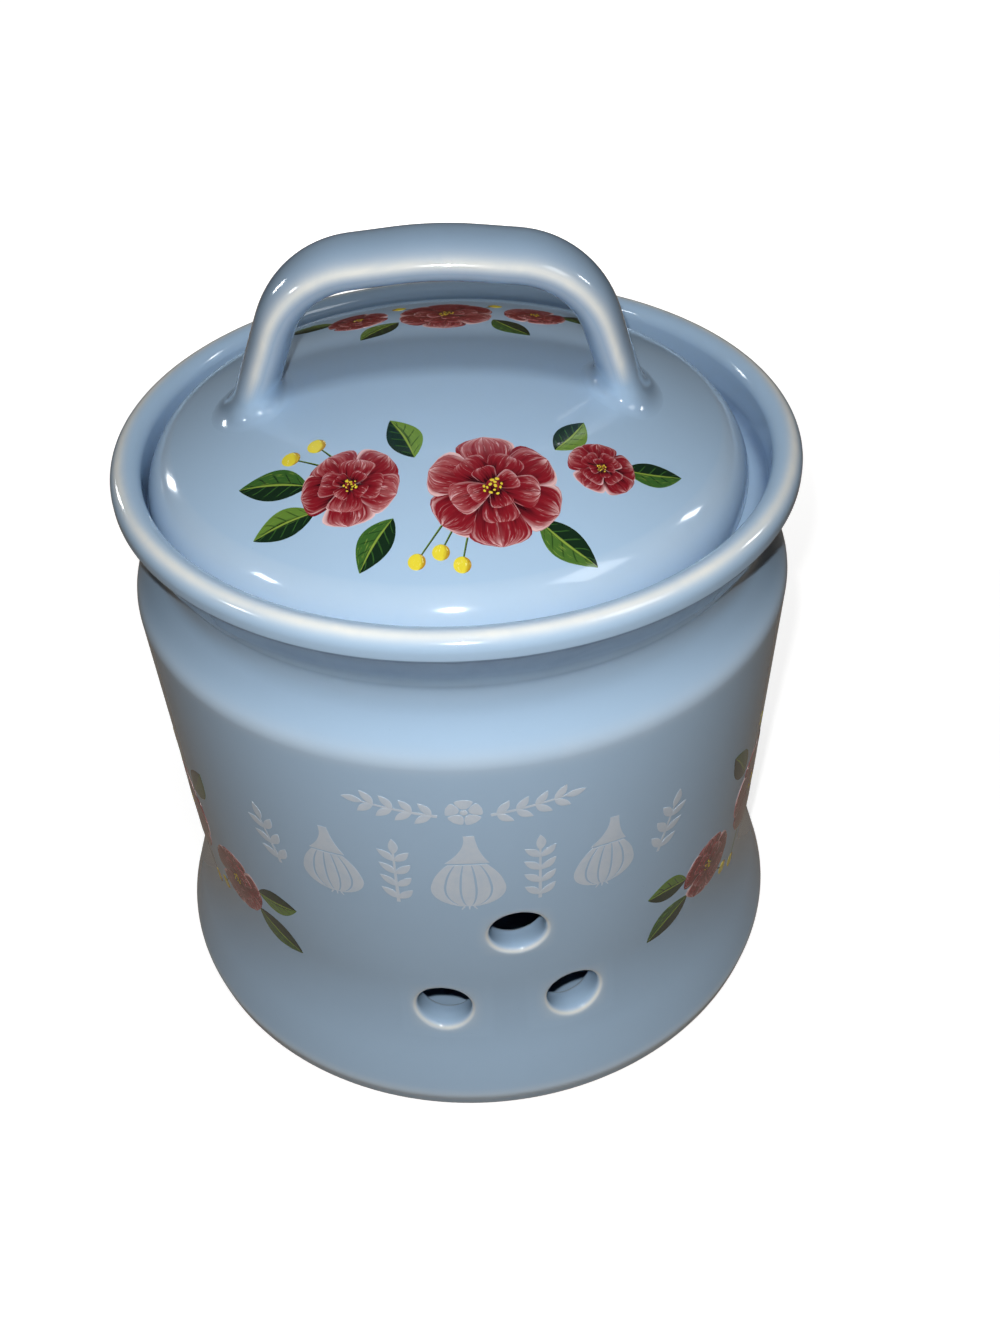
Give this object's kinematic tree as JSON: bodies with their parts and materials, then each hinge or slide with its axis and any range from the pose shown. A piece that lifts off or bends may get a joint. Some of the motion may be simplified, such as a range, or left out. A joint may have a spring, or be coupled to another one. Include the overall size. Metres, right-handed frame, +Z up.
{
  "type": "garlic keeper",
  "caption": "Glazed stoneware garlic keeper: flared, footed jar with round air vents low in front, rolled rim, and a loose domed lid with a strap handle; floral prints.",
  "frame": {"origin": "centre of the foot, on the table", "axes": "+Z up along the jar's axis; -Y is the front, where the vents and the pale frieze are; +X is the viewer's right"},
  "size_m": [0.1394, 0.1394, 0.1644],
  "materials": {
    "blue_glaze": "gloss",
    "flower_print": "gloss",
    "pale_print": "gloss"
  },
  "bodies": {
    "jar_body": {"jar": "blue_glaze", "jar_floor": "blue_glaze", "jar_vent_panel": "blue_glaze", "jar_left_print": "flower_print", "jar_right_print": "flower_print", "jar_front_print": "pale_print"},
    "lid_body": {"lid": "blue_glaze", "lid_handle": "blue_glaze", "lid_front_print": "flower_print", "lid_rear_print": "flower_print"}
  },
  "joints": [
    {"name": "lid_lift", "type": "slide", "parent": "jar_body", "child": "lid_body", "axis": [0, 0, 1], "range_m": [0, 0.09]}
  ]
}
